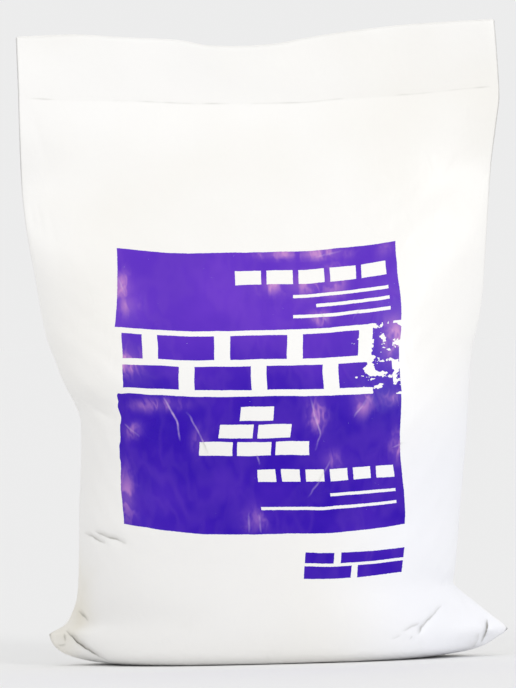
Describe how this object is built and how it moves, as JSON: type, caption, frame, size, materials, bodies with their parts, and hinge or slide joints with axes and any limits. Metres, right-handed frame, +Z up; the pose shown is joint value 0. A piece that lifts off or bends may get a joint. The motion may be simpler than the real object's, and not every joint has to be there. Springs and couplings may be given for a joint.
{
  "type": "cement bag",
  "caption": "Filled pillow sack of white film with a purple print panel, standing on its slumped base, with corner ears at the foot and a flat welded lip at the head.",
  "frame": {"origin": "on the floor, in the middle of the bag's width and depth", "axes": "+Z up from the base to the lip, printed front towards -Y, +X to the right as seen from the front"},
  "size_m": [0.3222, 0.1404, 0.4244],
  "materials": {
    "white_film": "semi-gloss polyethylene film, printed with a purple panel on its front",
    "cement": "dry grey powder"
  },
  "bodies": {
    "root": {"film_sack": "white_film", "cement_fill": "cement"}
  },
  "joints": []
}
